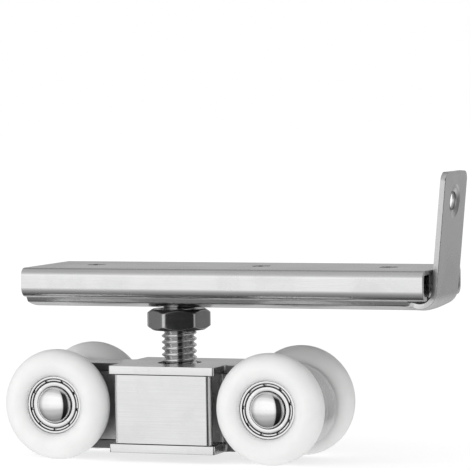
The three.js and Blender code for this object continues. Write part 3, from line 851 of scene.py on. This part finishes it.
# drop doubled points
clean = []
for q in section:
    if not clean or math.dist(q, clean[-1]) > 1e-3:
        clean.append(q)
if math.dist(clean[0], clean[-1]) < 1e-3:
    clean.pop()
hat = prism([(y, zh(h)) for y, h in clean], HAT_X0, HAT_X1, "X", bevel=0.10, steps=24)
for s in (-1, 1):
    lo, hi = sorted((s * 9.2, s * 14.0))
    hat = boolean(
        hat, prism([(lo, zh(3.2)), (hi, zh(3.2)), (hi, zh(-1)), (lo, zh(-1))], HAT_X0 - 1, FLANGE_X0, "X"), "DIFFERENCE"
    )

lean = math.radians(TAB_LEAN)
mid = TAB_R - SHEET / 2
start = TAB_BEND_X
end_angle = math.pi / 2 - lean
bend_len = mid * end_angle
z_mid = zh(HAT_H - SHEET / 2)
cz = z_mid + mid
bx, bz = start + mid * math.sin(end_angle), cz - mid * math.cos(end_angle)
tab_len = (TAB_TOP - bz) / math.sin(end_angle)
S0 = 54.0
stations = list(np.linspace(0, start - S0, 13)) + [start - S0 + bend_len * i / 24 for i in range(1, 25)]
s_tab = start - S0 + bend_len
stations += [s_tab + tab_len * i / 40 for i in range(1, 41)]
YN = 28
CORNER = 2.2


def strip_point(s, v, off):
    """v from -1 to 1 across the strip, off from -1 (inner face) to 1 (outer face)."""
    if s <= start - S0:
        x, z, nx, nz = S0 + s, z_mid, 0.0, -1.0
    elif s <= s_tab + 1e-9:
        a = (s - (start - S0)) / mid
        x, z, nx, nz = start + mid * math.sin(a), cz - mid * math.cos(a), math.sin(a), -math.cos(a)
    else:
        d = s - s_tab
        x, z = bx + d * math.cos(end_angle), bz + d * math.sin(end_angle)
        nx, nz = math.sin(end_angle), -math.cos(end_angle)
    w = HAT_SHOULDER_Y
    if s < 4.4:  # inside the hat's crown the strip is a little narrower and thinner
        w = 7.7 + (HAT_SHOULDER_Y - 7.7) * max(0.0, min(1.0, (s - 3.0) / 1.4))
    left = s_tab + tab_len - s
    if left < CORNER:
        w = w - CORNER + math.sqrt(max(0.0, CORNER ** 2 - (CORNER - left) ** 2))
    y = v * w
    u = min(1.0, max(0.0, (s - (start - S0 - 4)) / (bend_len * 0.8 + 4)))
    keep = 1 - u * u * (3 - 2 * u)
    sag = HAT_SAG * (y / HAT_SHOULDER_Y) ** 2 * keep
    thin = 0.03 * max(0.0, min(1.0, (3.3 - s) / 0.3))
    d = off * (SHEET / 2 - thin) - sag
    return x + nx * d, y, z + nz * d


# cross-section of the strip: both faces and two eased edges
ease = 0.16
cross = []
for i in range(YN + 1):
    cross.append((-1 + 2 * i / YN, 1.0, 1))
across = [(v, o) for v, o, _ in cross]
ring_pts = [(v * (1 - ease / HAT_SHOULDER_Y), 1.0) for v, _ in across]
ring_pts += [(1 - 0.3 * ease / HAT_SHOULDER_Y, 1 - 0.22 * ease / SHEET * 2), (1.0, 1 - 2 * ease / SHEET),
             (1.0, 0.0), (1.0, -1 + 2 * ease / SHEET), (1 - 0.3 * ease / HAT_SHOULDER_Y, -1 + 0.22 * ease / SHEET * 2)]
ring_pts += [(-v * (1 - ease / HAT_SHOULDER_Y), -1.0) for v, _ in across]
ring_pts += [(-1 + 0.3 * ease / HAT_SHOULDER_Y, -1 + 0.22 * ease / SHEET * 2), (-1.0, -1 + 2 * ease / SHEET),
             (-1.0, 0.0), (-1.0, 1 - 2 * ease / SHEET), (-1 + 0.3 * ease / HAT_SHOULDER_Y, 1 - 0.22 * ease / SHEET * 2)]
last = stations[-1]
stations = [s for s in stations if s < last - CORNER - 0.05]
stations += [last - CORNER + CORNER * math.sin(math.radians(a)) for a in (0, 12, 24, 36, 48, 60, 70, 80, 86)]
verts, faces = [], []
n = len(ring_pts)
for s in stations:
    for v, o in ring_pts:
        verts.append(strip_point(s, v, o))
# the tab's end edge, eased
for k, (ds, shrink) in enumerate(((0.05, 0.8), (0.0, 0.55))):
    for v, o in ring_pts:
        verts.append(strip_point(last - ds if k == 0 else last, v * (0.999 if k == 0 else 0.995), o * shrink))
rowsn = len(stations) + 2
for i in range(rowsn - 1):
    for k in range(n):
        j = (k + 1) % n
        faces.append((i * n + k, i * n + j, (i + 1) * n + j, (i + 1) * n + k))
faces.append(tuple(range(n)))
faces.append(tuple(range((rowsn - 1) * n, rowsn * n)))
strip = mesh_of(verts, faces)
hat = boolean(hat, strip, "UNION")
hat = boolean(hat, cylinder(4.4, 25, DOOR_FACE + 1, "Z", segs=64), "DIFFERENCE")
# countersunk screw hole, square to the leaning tab
hx = bx + ((TAB_HOLE_Z - bz) / math.sin(end_angle)) * math.cos(end_angle)
screw = lathe([(0, -4), (2.0, -4), (2.0, 0.14), (2.06, 0.20), (3.0, 0.44), (3.70, SHEET / 2 - 0.02), (3.9, SHEET / 2 + 0.1),
               (3.9, 4), (0, 4)], "Z", 64)
screw.transform(Matrix.Translation((hx, 0, TAB_HOLE_Z)) @ Matrix.Rotation(lean, 4, "Y") @ Matrix.Rotation(math.pi / 2, 4, "Y"))
hat = boolean(hat, screw, "DIFFERENCE")


def strip_grain(x, y, z):
    """Along X on the hat, and up the tab past the bend."""
    up = np.clip((z - (z_mid + 2.5)) / 3.0, 0, 1) * (x > start + 1)
    along = np.where(up > 0, x + z, x)
    across = z * (1 - up) + x * up
    return y, across, 0.03 * along




def tab_hole_shade_and_edges(x, y, z):
    """Painted shade in the screw hole's bore, and a darker strip along the tab's side edges."""
    up = (x - hx) * math.cos(end_angle) + (z - TAB_HOLE_Z) * math.sin(end_angle)
    out = (x - hx) * math.sin(end_angle) - (z - TAB_HOLE_Z) * math.cos(end_angle)
    wall = 0.9 * (np.hypot(up, y) < 2.03) * (out > -0.4)
    return np.maximum(wall, 0.20 * (np.abs(y) > HAT_SHOULDER_Y - 0.08)) * (x > TAB_BEND_X + 2)


piece("hanger_plate_fine", "hanger_plate", "hanger", MAT["tab"], hat, strip_grain, 38, tab_hole_shade_and_edges)

# ------------------------------------------------------------------ floor
FLOOR_Z = -DOOR_FACE * 0.001
bm = bmesh.new()
bmesh.ops.create_circle(bm, cap_ends=True, segments=96, radius=4.0)
bmesh.ops.translate(bm, verts=bm.verts, vec=(0, 0, FLOOR_Z - 0.00005))
floor_mesh = bpy.data.meshes.new("floor")
bm.to_mesh(floor_mesh)
bm.free()
floor = bpy.data.objects.new("floor", floor_mesh)
scene.collection.objects.link(floor)
floor.visible_glossy = False
fm = bpy.data.materials.new("floor_pale")
fm.use_nodes = True
ft = fm.node_tree
ft.nodes.clear()
fo = ft.nodes.new("ShaderNodeOutputMaterial")
fd = ft.nodes.new("ShaderNodeBsdfDiffuse")
fd.inputs["Color"].default_value = (0.42, 0.42, 0.42, 1)
fe = ft.nodes.new("ShaderNodeEmission")
fe.inputs["Strength"].default_value = 0.72
fa = ft.nodes.new("ShaderNodeAddShader")
ft.links.new(fd.outputs[0], fa.inputs[0])
ft.links.new(fe.outputs[0], fa.inputs[1])
ft.links.new(fa.outputs[0], fo.inputs[0])
floor_mesh.materials.append(fm)

# ------------------------------------------------------------------ studio: a soft surround and soft lights
world = bpy.data.worlds.new("studio")
scene.world = world
world.use_nodes = True
wt = world.node_tree
wt.nodes.clear()
wo = wt.nodes.new("ShaderNodeOutputWorld")
bg = wt.nodes.new("ShaderNodeBackground")
wt.links.new(bg.outputs[0], wo.inputs[0])
wtc = wt.nodes.new("ShaderNodeTexCoord")
ws = wt.nodes.new("ShaderNodeSeparateXYZ")
wt.links.new(wtc.outputs["Generated"], ws.inputs[0])
az = math_node(wt, "ARCTAN2", ws.outputs[0], math_node(wt, "MULTIPLY", ws.outputs[1], -1.0))
az01 = math_node(wt, "ADD", math_node(wt, "DIVIDE", az, 2 * math.pi), 0.5)


def ramp(t, fac, stops):
    n = t.nodes.new("ShaderNodeValToRGB")
    n.color_ramp.interpolation = "EASE"
    e = n.color_ramp.elements
    while len(e) > 1:
        e.remove(e[-1])
    for i, (p, v) in enumerate(stops):
        q = e[0] if i == 0 else e.new(p)
        q.position = p
        q.color = (v, v, v, 1)
    t.links.new(fac, n.inputs[0])
    return n.outputs[0]


def turn(deg):
    return (deg + 180.0) / 360.0


level = ramp(wt, az01, [
    (turn(-180), 0.46), (turn(-159), 0.42), (turn(-130), 0.34), (turn(-100), 0.25), (turn(-84), 0.32),
    (turn(-66), 0.52), (turn(-44), 0.93), (turn(-24), 1.0), (turn(0), 1.0), (turn(6), 0.85), (turn(10), 0.03),
    (turn(40), 0.03), (turn(52), 0.34), (turn(72), 0.55), (turn(104), 0.50), (turn(126), 0.18), (turn(145), 0.22),
    (turn(158), 0.42),
    (turn(180), 0.46),
])
level = math_node(wt, "MULTIPLY", level, 1.14)
tall = math_node(wt, "ADD", math_node(wt, "MULTIPLY", ws.outputs[2], 0.5), 0.5)
rise = ramp(wt, tall, [
    (0.0, 0.20), (0.10, 0.25), (0.20, 0.34), (0.34, 0.54), (0.44, 0.90), (0.49, 1.0), (0.60, 1.0),
    (0.70, 0.80), (0.78, 0.56), (0.88, 0.50), (1.0, 0.55),
])
sky = math_node(wt, "MULTIPLY", level, rise)
high = remap(wt, ws.outputs[2], 0.55, 0.95, 0.0, 0.50, True)
sky = math_node(wt, "MAXIMUM", sky, high)
back = remap(wt, ws.outputs[1], 0.35, 0.7, 0.0, 0.66, True)
low = math_node(wt, "MULTIPLY", remap(wt, ws.outputs[2], -0.34, -0.12, 1.0, 0.0, True),
                remap(wt, ws.outputs[2], -0.92, -0.72, 0.0, 1.0, True))
sky = math_node(wt, "MAXIMUM", sky, math_node(wt, "MULTIPLY", back, low))
wlp = wt.nodes.new("ShaderNodeLightPath")
# soft rays take a calmer, broader version of the same studio: bright from the front left
front = math_node(wt, "ADD", math_node(wt, "MULTIPLY", ws.outputs[0], -0.42), math_node(wt, "MULTIPLY", ws.outputs[1], -0.90))
broad = remap(wt, front, -0.5, 0.9, 0.50, 1.20, True)
even = wt.nodes.new("ShaderNodeMix")
even.data_type = "FLOAT"
wt.links.new(wlp.outputs["Is Glossy Ray"], even.inputs[0])
wt.links.new(broad, even.inputs[2])
wt.links.new(sky, even.inputs[3])
seen = wt.nodes.new("ShaderNodeMix")
seen.data_type = "FLOAT"
wt.links.new(wlp.outputs["Is Camera Ray"], seen.inputs[0])
wt.links.new(even.outputs[0], seen.inputs[2])
seen.inputs[3].default_value = 1.0
wt.links.new(seen.outputs[0], bg.inputs[1])
bg.inputs[0].default_value = (1, 1, 1, 1)


def area(name, where, size, power, glossy=False):
    light = bpy.data.lights.new(name, "AREA")
    light.shape = "RECTANGLE"
    light.size, light.size_y = size
    light.energy = power
    o = bpy.data.objects.new(name, light)
    scene.collection.objects.link(o)
    o.location = where
    o.rotation_mode = "QUATERNION"
    o.rotation_quaternion = (Vector((0.014, 0, 0)) - Vector(where)).to_track_quat("-Z", "Y")
    o.visible_camera = False
    o.visible_glossy = glossy
    return o


area("key", (-0.62, -0.95, 0.62), (0.7, 0.6), 1.2)
area("fill", (0.75, -0.75, 0.35), (0.8, 0.6), 0.3)

# ------------------------------------------------------------------ camera at the photograph's viewing angle
AZ, EL, ROLL, DIST, LENS = math.radians(20.8), math.radians(2.84), math.radians(-0.81), 0.725, 247.6
d = Vector((math.sin(AZ) * math.cos(EL), -math.cos(AZ) * math.cos(EL), math.sin(EL)))
right_v = Vector((math.cos(AZ), math.sin(AZ), 0))
up_v = d.cross(right_v)
R = right_v * math.cos(ROLL) + up_v * math.sin(ROLL)
U = -right_v * math.sin(ROLL) + up_v * math.cos(ROLL)
cam_data = bpy.data.cameras.new("camera")
cam_data.lens = LENS
cam_data.sensor_width = 36.0
cam_data.clip_start = 0.05
cam_data.clip_end = 20.0
cam = bpy.data.objects.new("camera", cam_data)
scene.collection.objects.link(cam)
target = Vector((0.01384, 0.0, 0.00692))
cam.matrix_world = Matrix((
    (R.x, U.x, d.x, target.x + DIST * d.x),
    (R.y, U.y, d.y, target.y + DIST * d.y),
    (R.z, U.z, d.z, target.z + DIST * d.z),
    (0, 0, 0, 1),
))
scene.camera = cam
scene.view_settings.view_transform = "Standard"
scene.view_settings.look = "None"

bpy.context.view_layer.update()
